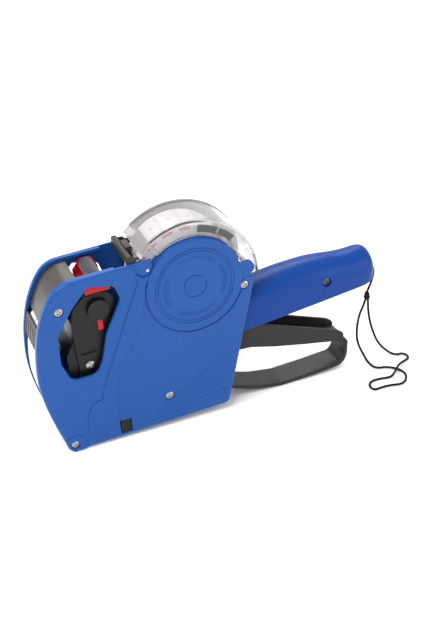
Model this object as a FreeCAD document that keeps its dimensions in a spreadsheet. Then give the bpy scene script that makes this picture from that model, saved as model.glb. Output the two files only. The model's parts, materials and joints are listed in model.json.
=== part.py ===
import FreeCAD, Part
import math
import os
import Sketcher
from FreeCAD import Vector, Rotation, Placement

# Single-line hand price labeller.
# Design frame: X runs from the nose to the handle, Z up, Y across the body,
# y = 0 on the middle plane, z = 0 on the underside of the body.
# At the end every piece gets one common Placement that leans the tool back by
# "tilt" so that it rests on its nose and on the elbow of the trigger loop, and
# puts the origin under the middle of its box.

doc = FreeCAD.newDocument("labeller")
sheet = doc.addObject("Spreadsheet::Sheet", "dims")

DIMS = [
    ("half_w", 18.0), ("wall", 2.2), ("proud", 0.6), ("rim_in", 13.4),
    ("disc_x", 88.0), ("disc_z", 94.0), ("disc_rad", 30.9), ("drum_rad", 31.0),
    ("drum_in", 28.7), ("drum_deep", 11.3),
    ("shaft_x", 76.0), ("shaft_z", 60.0), ("shaft_rad", 2.5), ("run_clear", 0.05),
    ("roll_x", 85.2), ("roll_z", 100.3), ("roll_rad", 31.6), ("roll_half", 10.75),
    ("core_rad", 13.6), ("core_bore", 12.4), ("spindle_rad", 12.33),
    ("cover_rad", 43.4), ("cover_wall", 1.8), ("cover_half", 16.9), ("cover_cx", 87.4),
    ("cover_cz", 92.7), ("lever_half", 9.25), ("lever_wall", 1.9),
    ("arm_in", 11.2), ("arm_out", 12.6), ("head_x", 27.9), ("head_z", 94.3),
    ("knob_rad", 6.8), ("hinge_x", 124.2), ("hinge_z", 95.6), ("latch_x", 55.4),
    ("latch_z", 118.6), ("feed_x", 42.0), ("feed_z", 25.4), ("feed_rad", 9.6),
    ("appl_x", -1.8), ("appl_z", 5.2), ("appl_rad", 4.4), ("handle_wall", 2.4),
    ("slot_half", 10.9), ("tilt", 2.6), ("shift_x", 96.955), ("shift_z", 0.25),
    ("cord_dia", 1.6), ("strip_thick", 0.3), ("strip_half", 10.5),
]
D = {}
for i, (name, value) in enumerate(DIMS, start=1):
    sheet.set("A%d" % i, name)
    sheet.set("B%d" % i, repr(value))
    sheet.setAlias("B%d" % i, name)
    D[name] = value
doc.recompute()


def ev(expr):
    """Number for an expression made of sheet names."""
    if isinstance(expr, (int, float)):
        return float(expr)
    text = expr.replace(" ", "")
    pos = [0]

    def atom():
        c = text[pos[0]]
        if c == "-":
            pos[0] += 1
            return -atom()
        if c == "(":
            pos[0] += 1
            v = total()
            pos[0] += 1
            return v
        j = pos[0]
        while j < len(text) and (text[j].isalnum() or text[j] in "._"):
            j += 1
        word = text[pos[0]:j]
        pos[0] = j
        return D[word[5:]] if word.startswith("dims.") else float(word)

    def product():
        v = atom()
        while pos[0] < len(text) and text[pos[0]] in "*/":
            op = text[pos[0]]
            pos[0] += 1
            w = atom()
            v = v * w if op == "*" else v / w
        return v

    def total():
        v = product()
        while pos[0] < len(text) and text[pos[0]] in "+-":
            op = text[pos[0]]
            pos[0] += 1
            w = product()
            v = v + w if op == "+" else v - w
        return v

    return total()


THETA = math.radians(D["tilt"])
TILT = Placement(Vector(0, 0, 0), Rotation(Vector(0, 1, 0), -D["tilt"]))
SHIFT = Placement(Vector(-D["shift_x"], 0, D["shift_z"]), Rotation())
GLOBAL = SHIFT.multiply(TILT)

NODES = []


def node(obj, label):
    obj.Label = label
    NODES.append((label, obj))
    return obj


# ---------------------------------------------------------------- profiles
def rounded(points, closed=True):
    """Edges of a polygon whose corners (x, z, radius) are rounded."""
    pts = [(p[0], p[1], p[2] if len(p) > 2 else 0.0) for p in points]
    n = len(pts)
    corner = []
    for i in range(n):
        x, z, r = pts[i]
        if r <= 0 or (not closed and i in (0, n - 1)):
            corner.append(((x, z), (x, z), None))
            continue
        ax, az, _ = pts[i - 1]
        bx, bz, _ = pts[(i + 1) % n]
        ux, uz = ax - x, az - z
        vx, vz = bx - x, bz - z
        lu, lv = math.hypot(ux, uz), math.hypot(vx, vz)
        ux, uz, vx, vz = ux / lu, uz / lu, vx / lv, vz / lv
        cosang = max(-1.0, min(1.0, ux * vx + uz * vz))
        ang = math.acos(cosang)
        if ang > math.pi - 1e-4:
            corner.append(((x, z), (x, z), None))
            continue
        cut = r / math.tan(ang / 2)
        bxv, bzv = ux + vx, uz + vz
        lb = math.hypot(bxv, bzv)
        far = r / math.sin(ang / 2)
        cx, cz = x + bxv / lb * far, z + bzv / lb * far
        mid = (cx - bxv / lb * r, cz - bzv / lb * r)
        corner.append(((x + ux * cut, z + uz * cut), (x + vx * cut, z + vz * cut), mid))
    edges = []
    last = n if closed else n - 1
    for i in range(n):
        a, b, mid = corner[i]
        if mid is not None:
            edges.append(("a", a, mid, b))
        if i < last:
            c = corner[(i + 1) % n][0]
            if math.hypot(b[0] - c[0], b[1] - c[1]) > 1e-5:
                edges.append(("l", b, c))
    return edges


def arc_pts(cx, cz, r, a0, a1):
    """One arc edge from angle a0 to a1 (degrees)."""
    am = (a0 + a1) / 2
    f = lambda a: (cx + r * math.cos(math.radians(a)), cz + r * math.sin(math.radians(a)))
    return ("a", f(a0), f(am), f(a1))


def ring_band(cx, cz, r0, r1, a0, a1):
    """Closed band between two radii and two angles."""
    o = arc_pts(cx, cz, r1, a0, a1)
    i = arc_pts(cx, cz, r0, a1, a0)
    return [o, ("l", o[3], i[1]), i, ("l", i[3], o[1])]


def ribbon(path, thick):
    """Closed outline of a thin strip that follows a rounded path."""
    h = thick / 2.0
    n = len(path)

    def side(sgn):
        out = []
        for i in range(n):
            x, z = path[i][0], path[i][1]
            r = path[i][2] if len(path[i]) > 2 else 0.0
            if i > 0:
                d1 = (x - path[i - 1][0], z - path[i - 1][1])
                l1 = math.hypot(*d1)
                d1 = (d1[0] / l1, d1[1] / l1)
            if i < n - 1:
                d2 = (path[i + 1][0] - x, path[i + 1][1] - z)
                l2 = math.hypot(*d2)
                d2 = (d2[0] / l2, d2[1] / l2)
            if i == 0:
                out.append((x - d2[1] * h * sgn, z + d2[0] * h * sgn, 0.0))
            elif i == n - 1:
                out.append((x - d1[1] * h * sgn, z + d1[0] * h * sgn, 0.0))
            else:
                n1 = (-d1[1] * sgn, d1[0] * sgn)
                n2 = (-d2[1] * sgn, d2[0] * sgn)
                k = 1.0 + n1[0] * n2[0] + n1[1] * n2[1]
                mx, mz = (n1[0] + n2[0]) / k, (n1[1] + n2[1]) / k
                turn = d1[0] * d2[1] - d1[1] * d2[0]
                rr = r - h * sgn if turn > 0 else r + h * sgn
                out.append((x + mx * h, z + mz * h, max(rr, 0.0)))
        return out

    pts = side(1.0) + list(reversed(side(-1.0)))
    return rounded(pts)


def geo(e):
    if e[0] == "l":
        return Part.LineSegment(Vector(e[1][0], e[1][1], 0), Vector(e[2][0], e[2][1], 0))
    if e[0] == "a":
        return Part.Arc(Vector(e[1][0], e[1][1], 0), Vector(e[2][0], e[2][1], 0),
                        Vector(e[3][0], e[3][1], 0))
    if e[0] == "s":
        curve = Part.BSplineCurve()
        curve.interpolate([Vector(p[0], p[1], 0) for p in e[1]])
        return curve
    raise ValueError(e[0])


COUNT = [0]


def add_profile(sk, loops):
    for loop in loops:
        if loop[0] == "c":
            idx = sk.addGeometry(Part.Circle(Vector(loop[1], loop[2], 0), Vector(0, 0, 1), ev(loop[3])), False)
            con = sk.addConstraint(Sketcher.Constraint("Radius", idx, ev(loop[3])))
            if isinstance(loop[3], str):
                COUNT[0] += 1
                nm = "rad%d" % COUNT[0]
                sk.renameConstraint(con, nm)
                sk.setExpression("Constraints." + nm, loop[3])
        else:
            for e in loop:
                sk.addGeometry(geo(e), False)


def plane(body, role):
    for f in body.Origin.OriginFeatures:
        if f.Role == role:
            return f
    raise ValueError(role)


def sketch_y(body, loops, y):
    """Sketch on a plane of constant y (x to the right, z up)."""
    COUNT[0] += 1
    sk = body.newObject("Sketcher::SketchObject", "sketch%d" % COUNT[0])
    sk.AttachmentSupport = [(plane(body, "XZ_Plane"), "")]
    sk.MapMode = "FlatFace"
    sk.AttachmentOffset = Placement(Vector(0, 0, -ev(y)), Rotation())
    if isinstance(y, str):
        sk.setExpression(".AttachmentOffset.Base.z", "-(%s)" % y)
    add_profile(sk, loops)
    return sk


def new_body(name):
    return doc.addObject("PartDesign::Body", name)


def grow(body, loops, y0, y1):
    """Pad between two y planes."""
    sk = sketch_y(body, loops, y1)
    COUNT[0] += 1
    pad = body.newObject("PartDesign::Pad", "pad%d" % COUNT[0])
    pad.Profile = sk
    pad.Length = ev(y1) - ev(y0)
    pad.setExpression("Length", "(%s) - (%s)" % (y1, y0))
    return pad


def soften(body, radius, planes, pick=None):
    """Rounds the tip's edges that lie in the given y planes."""
    doc.recompute()
    tip = body.Tip
    names = []
    for i, e in enumerate(tip.Shape.Edges, start=1):
        bb = e.BoundBox
        flat = any(abs(bb.YMin - y) < 0.005 and abs(bb.YMax - y) < 0.005 for y in planes)
        if flat and (pick is None or pick(e)):
            names.append("Edge%d" % i)
    COUNT[0] += 1
    f = body.newObject("PartDesign::Fillet", "fillet%d" % COUNT[0])
    f.Base = (tip, names)
    f.Radius = radius
    doc.recompute()
    if "Invalid" in f.State or "Error" in f.State or f.Shape.isNull() or not f.Shape.isValid():
        print("no rounding of", body.Label, radius, len(names))
        body.removeObject(f)
        doc.removeObject(f.Name)
        body.Tip = tip
        doc.recompute()
        return None
    return f


def carve(body, loops, y0, y1):
    """Pocket between two y planes."""
    sk = sketch_y(body, loops, y0)
    COUNT[0] += 1
    poc = body.newObject("PartDesign::Pocket", "pocket%d" % COUNT[0])
    poc.Profile = sk
    poc.Type = 0
    poc.Length = ev(y1) - ev(y0)
    poc.setExpression("Length", "(%s) - (%s)" % (y1, y0))
    return poc


def prism(label, loops, y0, y1):
    b = new_body(label)
    grow(b, loops, y0, y1)
    node(b, label)
    return b


def neg(expr):
    return -expr if isinstance(expr, (int, float)) else "-(%s)" % expr


def span(side, a, b):
    """y range between distances a and b (outwards) from the middle plane."""
    return (neg(b), neg(a)) if side < 0 else (a, b)


def cyl_y(name, x, z, rad, y0, y1, hidden=False):
    """Cylinder along Y."""
    c = doc.addObject("Part::Cylinder", name)
    c.Radius = ev(rad)
    c.Height = ev(y1) - ev(y0)
    if isinstance(rad, str):
        c.setExpression("Radius", rad)
    if isinstance(y0, str) or isinstance(y1, str):
        c.setExpression("Height", "(%s) - (%s)" % (y1, y0))
    c.Placement = Placement(Vector(ev(x), ev(y1), ev(z)), Rotation(Vector(1, 0, 0), 90))
    return c


def cut(label, base, tool, add=True):
    o = doc.addObject("Part::Cut", label)
    o.Base = base
    o.Tool = tool
    return node(o, label) if add else o


def fuse(label, shapes, add=True):
    o = doc.addObject("Part::MultiFuse", label)
    o.Shapes = shapes
    return node(o, label) if add else o


def group(label, shapes):
    o = doc.addObject("Part::Compound", label)
    o.Links = shapes
    return node(o, label)


def feature(label, shape):
    o = doc.addObject("Part::Feature", label)
    o.Shape = shape
    return node(o, label)


def ring_y(label, x, z, r_in, r_out, y0, y1, add=True):
    a = cyl_y(label + "_o", x, z, r_out, y0, y1)
    b = cyl_y(label + "_i", x, z, r_in, ev(y0) - 1.0, ev(y1) + 1.0)
    return cut(label, a, b, add)


HW = "dims.half_w"
INNER = "dims.half_w - dims.wall"

# ---------------------------------------------------------------- side covers
NOSE = [(14.0, 119.0), (9.3, 118.2), (4.2, 115.6), (0.0, 111.4), (-4.2, 105.0), (-8.2, 97.0),
        (-11.6, 87.0), (-14.0, 76.5), (-15.5, 65.5), (-16.0, 55.0), (-15.3, 44.0), (-13.0, 30.0),
        (-9.6, 16.0), (-7.6, 8.6)]
dx, dz, dr = D["disc_x"], D["disc_z"], D["disc_rad"]


def on_disc(r, a):
    return (dx + r * math.cos(math.radians(a)), dz + r * math.sin(math.radians(a)))


def outline():
    """Outer edge of a side cover."""
    e = []
    tail = rounded([(-7.6, 8.6), (-5.6, 0.0, 4.6), (102.4, 0.0, 4.0), (127.6, 87.6, 2.2), (121.6, 90.6, 1.0),
                    on_disc(dr + 0.3, -4.5)], closed=False)
    e += tail
    start = on_disc(dr + 0.3, -4.5)
    top = on_disc(dr + 0.3, 141.5)
    e.append(("a", start, on_disc(dr + 0.3, 70.0), top))
    notch = rounded([top, (63.6, 119.2, 0.6), (14.0, 119.0)], closed=False)
    e += notch
    e.append(("s", NOSE))
    return e


WINDOW = rounded([(23.2, 112.4, 1.4), (38.6, 108.6, 4.0), (41.4, 98.6, 5.0), (29.5, 77.5, 14.0),
                  (25.2, 62.0, 6.0), (20.5, 51.6, 7.0), (4.0, 52.2, 6.0), (-0.4, 66.0, 8.0),
                  (0.6, 85.0, 10.0), (12.0, 101.2, 12.0)])

BAND = rounded([(50.3, 118.4, 0.5), (53.6, 108.2, 3.0), (21.8, 39.6, 4.0), (20.6, 33.0, 3.0), (13.6, 31.6, 6.0),
                (9.4, 24.0, 6.0), (8.6, 10.4, 1.0), (27.9, 10.4, 1.0), (28.8, 24.0, 5.0), (29.6, 36.0, 6.0),
                (31.5, 43.5, 6.0), (49.6, 78.6, 12.0), (57.9, 99.0, 6.0), (58.6, 106.0, 2.0), (53.4, 112.2, 2.0),
                (51.4, 118.4, 0.5)])


def slant(x0, z0, x1, z1, w):
    l = math.hypot(x1 - x0, z1 - z0)
    ux, uz = (x1 - x0) / l, (z1 - z0) / l
    a, b = -uz * w / 2, ux * w / 2
    return rounded([(x0 + a, z0 + b), (x0 - a, z0 - b), (x1 - a, z1 - b), (x1 + a, z1 + b)])


def side_cover(label, side):
    b = new_body(label)
    grow(b, [outline(), WINDOW], *span(side, INNER, HW))
    in_window = lambda e: -1.0 < e.CenterOfMass.x < 42.0 and 50.5 < e.CenterOfMass.z < 114.0
    soften(b, 1.0, (side * D["half_w"],), in_window)
    soften(b, 2.0, (side * D["half_w"],), lambda e: not in_window(e))
    # raised face of the round housing and the raised slanted band
    grow(b, [("c", dx, dz, "dims.disc_rad")], *span(side, HW + " - 2.1", HW + " + dims.proud"))
    soften(b, 0.5, (side * (D["half_w"] + D["proud"]),))
    grow(b, [BAND], *span(side, HW + " - 1.0", HW + " + 0.45"))
    # round drum wall that carries the label roll
    grow(b, [ring_band(dx, dz, D["drum_in"], D["drum_rad"], -8.0, 139.0)],
         *span(side, "dims.drum_deep", INNER))
    # inner lip along top, nose and underside
    lip = [("s", NOSE), ("l", NOSE[-1], (-5.8, 9.0)),
           ("s", [(-5.8, 9.0), (-7.8, 16.4), (-11.2, 30.3), (-13.5, 44.2), (-14.2, 55.0), (-13.7, 65.3),
                  (-12.2, 76.1), (-9.9, 86.4), (-6.6, 96.1), (-2.7, 103.9), (1.3, 110.1), (5.4, 114.1),
                  (9.9, 116.5), (14.0, 117.2)]),
           ("l", (14.0, 117.2), (14.0, 119.0))]
    grow(b, [lip], *span(side, "dims.rim_in", INNER))
    grow(b, [rounded([(14.0, 119.0), (14.0, 117.2), (41.0, 117.2), (41.0, 119.0)])],
         *span(side, "dims.rim_in", INNER))
    grow(b, [rounded([(101.2, 4.0), (103.2, 3.6), (124.4, 79.0), (122.5, 79.6)])],
         *span(side, "dims.rim_in + 1.0", INNER))
    # hinge ear of the clear cover
    grow(b, [rounded([(118.0, 100.4, 0.5), (114.0, 91.0), (123.5, 90.2, 1.0), (128.2, 94.6, 3.6),
                      (125.6, 100.4, 3.4)])], *span(side, INNER, HW))
    # embossed circles and ticks on the round face
    face = "dims.half_w + dims.proud"
    for r0, r1 in ((25.0, 25.6), (23.3, 23.7)):
        carve(b, [("c", dx, dz, r1), ("c", dx, dz, r0)], *span(side, face + " - 0.35", face))
    carve(b, [("c", dx, dz, 7.5), ("c", dx, dz, 7.0)], *span(side, face + " - 0.4", face))
    # foot groove around the lower half of the round housing
    carve(b, [ring_band(dx, dz, dr, dr + 1.2, 158.0, 352.0)], *span(side, HW + " - 0.5", HW + " + 0.5"))
    # shallow parallel styling grooves
    for k in range(9):
        x1 = 112.0 - 1.1 * k
        z1 = 44.0 - 4.4 * k
        x0 = 84.0 - 5.0 * k
        z0 = 30.0 - 3.1 * k
        if z1 < 4.0:
            continue
        carve(b, [slant(x0, max(z0, 3.5), x1 - 2.0, z1, 0.45)], *span(side, HW + " - 0.12", HW))
    # boss around the nose screw
    grow(b, [[("a", (-7.0, 8.4), (-1.0, 12.4), (5.4, 6.6)), ("a", (5.4, 6.6), (5.6, 3.2), (4.4, 0.6)),
              ("l", (4.4, 0.6), (-1.6, 0.6)), ("a", (-1.6, 0.6), (-4.6, 1.9), (-5.6, 4.2)),
              ("l", (-5.6, 4.2), (-7.0, 8.4))]], *span(side, HW + " - 1.3", HW + " + 0.3"))
    # recessed ledge beside the round housing, where the lid latch is pinned
    carve(b, [rounded([(51.6, 121.0), (53.0, 111.6, 2.6), (57.0, 108.8, 3.0), (61.2, 109.4, 0.6), (66.0, 116.4),
                       (64.6, 121.0)])], *span(side, HW + " - 1.1", HW + " + 1.0"))
    # pads that locate the handle
    grow(b, [rounded([(103.0, 50.0), (115.5, 50.0), (115.5, 60.0), (103.0, 60.0)])], *span(side, 13.35, INNER))
    # latch window
    carve(b, [rounded([(28.2, 2.6, 0.5), (35.9, 2.6, 0.5), (35.9, 12.4, 0.5), (28.2, 12.4, 0.5)])],
         *span(side, INNER + " - 1.0", HW + " + 1.0"))
    # screw recesses and the holes behind them
    for x, z in ((3.8, 101.5), (-1.8, 5.2), (63.0, 20.0), (120.0, 84.4)):
        carve(b, [("c", x, z, 2.9)], *span(side, HW + " - 1.1", HW + " + 1.0"))
        carve(b, [("c", x, z, 1.35)], *span(side, INNER + " - 1.0", HW))
    # hinge bore and latch pivot bore
    carve(b, [("c", D["hinge_x"], D["hinge_z"], 1.55)], *span(side, INNER + " - 1.0", HW + " - 0.8"))
    carve(b, [("c", 60.3, 112.6, 0.9)], *span(side, INNER + " - 1.0", HW + " + 1.0"))
    node(b, label)
    return b


left = side_cover("left_cover", -1)
right = side_cover("right_cover", 1)

# ---------------------------------------------------------------- nose visor
VIS = [(18.5, 116.9), (14.0, 117.0), (9.9, 116.2), (5.6, 113.9), (1.5, 109.9), (-2.5, 103.7), (-6.3, 95.9), (-7.2, 93.6)]
VIN = [(-5.7, 93.1), (-4.9, 95.3), (-1.2, 102.9), (2.7, 108.8), (6.5, 112.5), (10.5, 114.7), (14.2, 115.4), (18.5, 115.3)]
prism("nose_visor", [[("s", VIS), ("l", VIS[-1], VIN[0]), ("s", VIN), ("l", VIN[-1], VIS[0])]], -13.3, 13.3)

# ---------------------------------------------------------------- handle
SECT = [(100.0, 71.0, 62.0, 46.0, 12.6), (120.0, 74.6, 66.2, 46.6, 13.0), (137.0, 77.2, 68.2, 47.6, 13.2),
        (152.0, 79.0, 68.5, 49.0, 13.4), (166.0, 79.7, 67.4, 50.2, 13.5), (180.0, 78.9, 65.6, 51.3, 13.4),
        (192.0, 77.2, 64.2, 52.2, 13.2), (201.0, 76.9, 63.3, 52.9, 13.0), (207.0, 77.3, 62.6, 53.3, 12.5),
        (211.4, 76.2, 62.2, 54.2, 11.3), (214.0, 73.2, 62.2, 55.8, 9.3), (215.4, 69.4, 62.2, 58.0, 6.6)]


def half_section(zt, zm, zb, w, side, inset=0.0):
    zt, zb, w = zt - inset, zb + inset, w - inset
    h = zt - zm
    pts = [(0.0, zt), (-0.34 * w, zt - 0.055 * h), (-0.66 * w, zt - 0.24 * h), (-0.89 * w, zt - 0.54 * h),
           (-1.0 * w, zm)]
    c = min(2.2, 0.3 * w)
    flip = (lambda p: (p[0] * (1 if side < 0 else -1), p[1]))
    a, bq = (-w + 0.5, zb + c), (-w + 0.5 + c, zb)
    mid = (-w + 0.5 + c * 0.29, zb + c * 0.29)
    e = [("s", [flip(p) for p in pts]), ("l", flip(pts[-1]), flip(a)), ("a", flip(a), flip(mid), flip(bq)),
         ("l", flip(bq), flip((0.0, zb))), ("l", flip((0.0, zb)), flip((0.0, zt)))]
    return e


def section_sketch(body, x, loops):
    COUNT[0] += 1
    sk = body.newObject("Sketcher::SketchObject", "section%d" % COUNT[0])
    sk.AttachmentSupport = [(plane(body, "YZ_Plane"), "")]
    sk.MapMode = "FlatFace"
    sk.AttachmentOffset = Placement(Vector(0, 0, x), Rotation())
    add_profile(sk, loops)
    return sk


def handle_half(label, side):
    b = new_body(label)
    sks = [section_sketch(b, s[0], [half_section(s[1], s[2], s[3], s[4], side)]) for s in SECT]
    COUNT[0] += 1
    loft = b.newObject("PartDesign::AdditiveLoft", "loft%d" % COUNT[0])
    loft.Profile = sks[0]
    loft.Sections = sks[1:]
    loft.Ruled = False
    doc.recompute()
    inner = [s for s in SECT if s[0] < 208.0]
    inner = [(99.0, 70.8, 61.8, 46.0, 12.6)] + inner[1:-1] + [(206.0, 77.0, 62.6, 53.3, 12.4)]
    w = D["handle_wall"]
    sks = [section_sketch(b, s[0], [half_section(s[1] - 0.0, s[2], s[3], s[4], side, w)]) for s in inner]
    COUNT[0] += 1
    sub = b.newObject("PartDesign::SubtractiveLoft", "loft%d" % COUNT[0])
    sub.Profile = sks[0]
    sub.Sections = sks[1:]
    sub.Ruled = False
    doc.recompute()
    # open underside that the trigger swings into
    carve(b, [rounded([(98.0, 40.0), (201.0, 40.0), (201.0, 58.5), (98.0, 58.5)])],
          *((-D["slot_half"], 0.5) if side < 0 else (-0.5, D["slot_half"])))
    # screw recess on the near half, boss bore on the far one
    if side < 0:
        carve(b, [("c", 178.3, 65.3, 3.1)], -14.5, -11.6)
        carve(b, [("c", 178.3, 65.3, 1.35)], -14.5, -10.0)
    else:
        grow(b, [("c", 178.3, 65.3, 3.2)], 2.0, 11.6)
        carve(b, [("c", 178.3, 65.3, 1.3)], 1.0, 9.0)
    # lanyard hole in the end
    node(b, label)
    return b


hl = handle_half("handle_left_half", -1)
hr = handle_half("handle_right_half", 1)

# ---------------------------------------------------------------- trigger lever
UPPER = rounded([(68.6, 60.0, 6.0), (75.0, 68.6, 6.0), (90.0, 63.0, 10.0), (131.0, 46.2, 200.0), (186.6, 23.2, 5.0),
                 (191.0, 19.8, 3.0), (190.4, 13.2, 1.0), (183.4, 15.4, 1.0), (166.0, 19.4, 60.0), (141.0, 25.7, 60.0),
                 (124.0, 31.0, 30.0), (104.0, 32.6, 10.0), (78.0, 49.6, 8.0), (70.0, 53.4, 4.0)])
LOOP = [(112.0, 36.6), (126.0, 31.6, 30.0), (141.0, 27.0, 60.0), (166.0, 20.7, 60.0), (189.0, 16.6, 5.2),
        (192.6, 12.4, 3.0), (191.6, 1.0, 12.0), (187.6, -4.3, 6.5), (166.0, -5.3, 60.0), (143.3, -5.55, 22.0),
        (126.0, -2.2, 40.0), (108.0, 4.6, 12.0), (97.0, 16.4, 10.0), (92.0, 30.0, 8.0), (88.0, 47.0)]
lever = new_body("trigger_lever")
grow(lever, [ribbon(LOOP, 2.6)], "-(dims.lever_half)", "dims.lever_half")
for sgn in (-1, 1):
    grow(lever, [UPPER], *span(sgn, "dims.lever_half - dims.lever_wall", "dims.lever_half"))
soften(lever, 0.45, (-D["lever_half"], D["lever_half"]))
grow(lever, [ring_band(D["shaft_x"], D["shaft_z"], 4.2, 6.6, 200.0, 340.0)], "-(dims.lever_half)", "dims.lever_half")
carve(lever, [("c", D["shaft_x"], D["shaft_z"], "dims.shaft_rad + dims.run_clear")], -12.0, 12.0)
node(lever, "trigger_lever")

cyl = cyl_y("main_shaft", "dims.shaft_x", "dims.shaft_z", "dims.shaft_rad", "-(dims.half_w) + dims.wall", "dims.half_w - dims.wall")
node(cyl, "main_shaft")


# ---------------------------------------------------------------- springs
def coil(cx, cz, r, wire, y0, y1, turns, tail0, tail1):
    h = (y1 - y0)
    helix = Part.makeHelix(h / turns, h, r)
    helix.Placement = Placement(Vector(cx, y0, cz), Rotation(Vector(1, 0, 0), -90))
    w = Part.Wire(helix.Edges)
    p0 = w.Edges[0].valueAt(w.Edges[0].FirstParameter)
    t0 = w.Edges[0].tangentAt(w.Edges[0].FirstParameter)
    c = Part.Wire(Part.makeCircle(wire, p0, t0))
    return w.makePipeShell([c], True, True)


spring_shape = coil(D["shaft_x"], D["shaft_z"], 3.5, 0.5, -6.6, 6.6, 9, None, None)
feature("return_spring", spring_shape)

# ---------------------------------------------------------------- print head
HEAD = rounded([(10.6, 46.6, 1.5), (10.2, 88.0, 12.0), (14.0, 99.0, 6.0), (20.5, 104.2, 4.0), (34.5, 104.2, 4.0),
                (38.6, 99.0, 6.0), (38.6, 84.0, 8.0), (44.0, 76.0, 8.0), (72.0, 66.6, 4.0), (82.2, 66.6, 5.8), (82.2, 54.0, 5.8),
                (72.0, 53.6, 5.0), (50.0, 57.6, 12.0), (33.0, 57.0, 8.0), (28.4, 46.6, 1.5)])
for nm, sgn in (("head_plate_left", -1), ("head_plate_right", 1)):
    b = new_body(nm)
    grow(b, [HEAD], *span(sgn, "dims.arm_in", "dims.arm_out"))
    soften(b, 0.45, (sgn * D["arm_out"],))
    carve(b, [("c", D["shaft_x"], D["shaft_z"], "dims.shaft_rad + dims.run_clear")], *span(sgn, "dims.arm_in - 1.0", "dims.arm_out + 1.0"))
    carve(b, [("c", D["head_x"], D["head_z"], 2.06)], *span(sgn, "dims.arm_in - 1.0", "dims.arm_out + 1.0"))
    # long slot that shows the band carrier
    carve(b, [rounded([(13.0, 64.8, 0.4), (22.6, 64.8, 0.4), (22.6, 68.0, 0.4), (13.0, 68.0, 0.4)])],
          *span(sgn, "dims.arm_out - 0.7", "dims.arm_out + 1.0"))
    carve(b, [("c", 17.6, 56.8, 1.2)], *span(sgn, "dims.arm_in - 1.0", "dims.arm_out + 1.0"))
    node(b, nm)
# cross pieces of the head: rear bridge, front bridge and the type bar
prism("head_bridge", [rounded([(32.6, 72.0, 1.0), (37.0, 72.0, 1.0), (37.0, 84.0, 1.0), (33.6, 84.0, 1.0)])],
      "-(dims.arm_in)", "dims.arm_in")
prism("head_top_bridge", [rounded([(20.0, 102.2, 0.5), (20.6, 103.6, 0.5), (34.4, 103.6, 0.5), (34.8, 102.2, 0.5)])],
      "-(dims.arm_in)", "dims.arm_in")
prism("type_bar", [rounded([(16.4, 47.3, 1.0), (21.2, 47.3, 1.0), (21.6, 53.0, 0.8), (16.6, 53.0, 0.8)])],
      "-(dims.arm_in)", "dims.arm_in")
prism("head_front_shield", [rounded([(4.6, 49.0, 1.0), (12.5, 48.6, 0.4), (12.5, 86.0, 0.4), (11.0, 86.0, 0.4), (9.8, 74.0, 6.0), (4.6, 66.0, 2.0)])],
      "-(dims.arm_in)", "dims.arm_in")


def stadium(x0, z0, r0, x1, z1, r1):
    """Outline of a belt around two rollers."""
    ang = math.atan2(z1 - z0, x1 - x0)
    d = math.hypot(x1 - x0, z1 - z0)
    off = math.acos((r0 - r1) / d)
    f = lambda x, z, r, a: (x + r * math.cos(a), z + r * math.sin(a))
    a1, a2 = ang + off, ang - off
    p0, p1 = f(x0, z0, r0, a1), f(x0, z0, r0, a2)
    q0, q1 = f(x1, z1, r1, a1), f(x1, z1, r1, a2)
    return [("l", p0, q0), ("a", q0, f(x1, z1, r1, ang), q1), ("l", q1, p1), ("a", p1, f(x0, z0, r0, ang + math.pi), p0)]


def face_of(loop):
    es = []
    for e in loop:
        if e[0] == "l":
            es.append(Part.makeLine(Vector(e[1][0], 0, e[1][1]), Vector(e[2][0], 0, e[2][1])))
        else:
            es.append(Part.Arc(*[Vector(p[0], 0, p[1]) for p in e[1:]]).toShape())
    return Part.Face(Part.Wire(Part.sortEdges(es)[0]))


bands = []
for k in range(6):
    y0 = -9.3 + 3.2 * k
    outer = face_of(stadium(D["head_x"], D["head_z"], 6.2, 18.6, 49.6, 4.7)).extrude(Vector(0, 2.6, 0))
    inner = face_of(stadium(D["head_x"], D["head_z"], 5.2, 18.6, 49.6, 3.7)).extrude(Vector(0, 2.6, 0))
    s = outer.cut(inner)
    s.translate(Vector(0, y0, 0))
    bands.append(s.Solids[0])
feature("print_bands", Part.Compound(bands))
wheels = []
for k in range(6):
    y0 = -9.3 + 3.2 * k
    w = Part.makeCylinder(5.1, 2.6, Vector(D["head_x"], y0, D["head_z"]), Vector(0, 1, 0))
    w = w.cut(Part.makeCylinder(2.06, 4.0, Vector(D["head_x"], y0 - 0.5, D["head_z"]), Vector(0, 1, 0)))
    wheels.append(w)
feature("band_wheels", Part.Compound(wheels))

shaft = cyl_y("selector_shaft_rod", "dims.head_x", "dims.head_z", 2.0, -15.0, 12.9)
node(shaft, "selector_shaft")
knob = new_body("selector_knob")
grow(knob, [("c", D["head_x"], D["head_z"], "dims.knob_rad")], -15.5, -12.9)
soften(knob, 0.4, (-15.5,))
for k in range(12):
    a = math.radians(30 * k)
    carve(knob, [("c", D["head_x"] + 6.9 * math.cos(a), D["head_z"] + 6.9 * math.sin(a), 0.5)], -16.0, -12.5)
carve(knob, [("c", D["head_x"], D["head_z"], 2.05)], -15.0, -12.0)
node(knob, "selector_knob")
prism("digit_pointer", [rounded([(26.2, 79.8, 0.3), (29.3, 79.8, 0.3), (29.3, 86.6, 0.3), (26.2, 86.6, 0.3)])],
      -13.8, "-(dims.arm_out)")


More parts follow.
